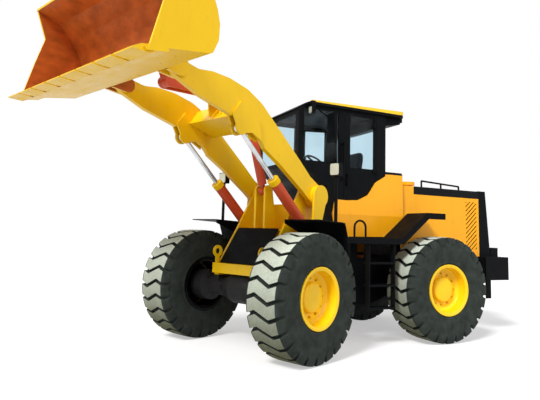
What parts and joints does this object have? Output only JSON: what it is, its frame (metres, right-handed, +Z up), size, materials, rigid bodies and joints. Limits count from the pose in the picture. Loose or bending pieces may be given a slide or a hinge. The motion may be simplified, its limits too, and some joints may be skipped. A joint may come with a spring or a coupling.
{
  "type": "articulated wheel loader",
  "caption": "Articulated wheel loader with a Z-bar bucket linkage, a closed cab with an opening door and a counterweight behind the hood, parked with boom raised and frames turned.",
  "frame": {"origin": "on the ground, at the middle of the box round the machine as parked", "axes": "+Z up; +Y towards the rear of the rear frame, along its length; +X towards the left side of the rear frame; the front frame is turned 21.7 degrees to the left about the centre pin"},
  "size_m": [4.0036, 7.4958, 4.0904],
  "materials": {
    "yellow": "gloss enamel, dusty in the corners",
    "side_yellow": "gloss enamel",
    "black": "satin black enamel",
    "dark_iron": "painted casting",
    "rust_iron": "oily orange-brown enamel",
    "red": "brick red enamel",
    "chrome": "polished piston rod",
    "tyre": "dusty tread",
    "rim": "gloss enamel",
    "glass": "light blue tint",
    "seat": "woven seat cloth",
    "trim": "moulded trim",
    "bucket": "enamel outside, worn to brown steel inside"
  },
  "bodies": {
    "rear_frame": {"rear_frame": "black", "centre_pins": "dark_iron", "counterweight": "black", "side_covers": "side_yellow", "hood": "side_yellow", "rear_grille": "black", "hood_rails": "black", "decks": "black", "cab_shell": "black", "cab_glass": "glass", "cab_roof": "yellow", "roof_valance": "black", "tail_lamps": "red", "seat": "seat", "consoles": "trim", "mirrors": "black", "gearbox": "rust_iron", "engine_block": "dark_iron", "rear_axle": "dark_iron"},
    "front_frame": {"front_frame": "yellow", "front_shield": "black", "front_fenders": "black", "headlamps": "black", "front_axle": "dark_iron"},
    "wheel_front_left": {"tyre_front_left": "tyre", "rim_front_left": "rim"},
    "wheel_front_right": {"tyre_front_right": "tyre", "rim_front_right": "rim"},
    "wheel_rear_left": {"tyre_rear_left": "tyre", "rim_rear_left": "rim"},
    "wheel_rear_right": {"tyre_rear_right": "tyre", "rim_rear_right": "rim"},
    "boom": {"boom": "yellow"},
    "bucket": {"bucket": "bucket"},
    "bellcrank": {"bellcrank": "red"},
    "bucket_link": {"bucket_link": "red"},
    "lift_barrel_left": {"lift_barrel_left": "red"},
    "lift_barrel_right": {"lift_barrel_right": "red"},
    "lift_rod_left": {"lift_rod_left": "chrome"},
    "lift_rod_right": {"lift_rod_right": "chrome"},
    "tilt_barrel": {"tilt_barrel": "red"},
    "tilt_rod": {"tilt_rod": "chrome"},
    "steer_barrel_left": {"steer_barrel_left": "red"},
    "steer_barrel_right": {"steer_barrel_right": "red"},
    "steer_rod_left": {"steer_rod_left": "chrome"},
    "steer_rod_right": {"steer_rod_right": "chrome"},
    "cab_door": {"door_frame": "black", "door_glass": "glass"}
  },
  "joints": [
    {"name": "steer", "type": "hinge", "parent": "rear_frame", "child": "front_frame", "pos_m": [-0.7318, 0.5609, 0.8265], "axis": [0, 0, 1], "range_deg": [-56.7, 13.3]},
    {"name": "wheel_front_left_spin", "type": "hinge", "parent": "front_frame", "child": "wheel_front_left", "pos_m": [0.75385, -0.44077, 0.7465], "axis": [0.9291, 0.3697, 0], "continuous": true},
    {"name": "wheel_front_right_spin", "type": "hinge", "parent": "front_frame", "child": "wheel_front_right", "pos_m": [-1.123, -1.18766, 0.7465], "axis": [0.9291, 0.3697, 0], "continuous": true},
    {"name": "wheel_rear_left_spin", "type": "hinge", "parent": "rear_frame", "child": "wheel_rear_left", "pos_m": [0.2782, 2.0409, 0.7465], "axis": [1, 0, 0], "continuous": true},
    {"name": "wheel_rear_right_spin", "type": "hinge", "parent": "rear_frame", "child": "wheel_rear_right", "pos_m": [-1.7418, 2.0409, 0.7465], "axis": [1, 0, 0], "continuous": true},
    {"name": "boom_lift", "type": "hinge", "parent": "front_frame", "child": "boom", "pos_m": [-0.47298, -0.08949, 1.992], "axis": [-0.9291, -0.3697, 0], "range_deg": [-65, 16]},
    {"name": "bucket_tilt", "type": "hinge", "parent": "boom", "child": "bucket", "pos_m": [0.4126, -2.31486, 3.1799], "axis": [0.9291, 0.3697, 0], "range_deg": [-95, 36]},
    {"name": "lift_barrel_left_pivot", "type": "hinge", "parent": "front_frame", "child": "lift_barrel_left", "pos_m": [0.04904, 0.03214, 1.435], "axis": [-0.9291, -0.3697, 0], "range_deg": [-63.88, 16.1]},
    {"name": "lift_rod_left_slide", "type": "slide", "parent": "lift_barrel_left", "child": "lift_rod_left", "axis": [0.2743, -0.6892, 0.6706], "range_m": [-0.6033, 0.15]},
    {"name": "lift_barrel_right_pivot", "type": "hinge", "parent": "front_frame", "child": "lift_barrel_right", "pos_m": [-0.93584, -0.35979, 1.435], "axis": [-0.9291, -0.3697, 0], "range_deg": [-63.88, 16.1]},
    {"name": "lift_rod_right_slide", "type": "slide", "parent": "lift_barrel_right", "child": "lift_rod_right", "axis": [0.2743, -0.6892, 0.6706], "range_m": [-0.6033, 0.15]},
    {"name": "tilt_barrel_pivot", "type": "hinge", "parent": "front_frame", "child": "tilt_barrel", "pos_m": [-0.2992, -0.52619, 2.05], "axis": [-0.9291, -0.3697, 0], "range_deg": [-85.97, 21.54]},
    {"name": "tilt_rod_slide", "type": "slide", "parent": "tilt_barrel", "child": "tilt_rod", "axis": [0.1179, -0.2962, 0.9478], "range_m": [-0.0661, 0.1711]},
    {"name": "bellcrank_pivot", "type": "hinge", "parent": "boom", "child": "bellcrank", "pos_m": [0.03173, -1.35776, 3.29], "axis": [0.9291, 0.3697, 0], "range_deg": [-12.31, 31.66]},
    {"name": "bucket_link_pivot", "type": "hinge", "parent": "bellcrank", "child": "bucket_link", "pos_m": [0.32568, -2.09642, 3.19], "axis": [0.9291, 0.3697, 0], "range_deg": [-63.01, 24.19]},
    {"name": "steer_barrel_left_pivot", "type": "hinge", "parent": "rear_frame", "child": "steer_barrel_left", "pos_m": [-0.4318, 1.1609, 0.83], "axis": [0, 0, 1], "range_deg": [-15.92, 4.12]},
    {"name": "steer_rod_left_slide", "type": "slide", "parent": "steer_barrel_left", "child": "steer_rod_left", "axis": [0.0884, -0.9961, 0], "range_m": [-0.0712, 0.2972]},
    {"name": "steer_barrel_right_pivot", "type": "hinge", "parent": "rear_frame", "child": "steer_barrel_right", "pos_m": [-1.0318, 1.1609, 0.83], "axis": [0, 0, 1], "range_deg": [-15.87, 4.1]},
    {"name": "steer_rod_right_slide", "type": "slide", "parent": "steer_barrel_right", "child": "steer_rod_right", "axis": [0.1128, -0.9936, 0], "range_m": [-0.2971, 0.0712]},
    {"name": "door_hinge", "type": "hinge", "parent": "rear_frame", "child": "cab_door", "pos_m": [-0.0238, 1.1789, 2.3], "axis": [0, 0, 1], "range_deg": [0, 90]}
  ],
  "couplings": [
    {"joint": "lift_barrel_left_pivot", "follows": "boom_lift", "ratio": 0.975},
    {"joint": "lift_rod_left_slide", "follows": "boom_lift", "m_per_rad": 0.53},
    {"joint": "lift_barrel_right_pivot", "follows": "boom_lift", "ratio": 0.975},
    {"joint": "lift_rod_right_slide", "follows": "boom_lift", "m_per_rad": 0.53},
    {"joint": "tilt_barrel_pivot", "follows": "boom_lift", "ratio": 1.315},
    {"joint": "tilt_rod_slide", "follows": "bucket_tilt", "m_per_rad": -0.102},
    {"joint": "bellcrank_pivot", "follows": "bucket_tilt", "ratio": -0.328},
    {"joint": "bucket_link_pivot", "follows": "bucket_tilt", "ratio": 0.658},
    {"joint": "steer_barrel_left_pivot", "follows": "steer", "ratio": 0.272},
    {"joint": "steer_rod_left_slide", "follows": "steer", "m_per_rad": -0.2983},
    {"joint": "steer_barrel_right_pivot", "follows": "steer", "ratio": 0.271},
    {"joint": "steer_rod_right_slide", "follows": "steer", "m_per_rad": 0.2982}
  ]
}
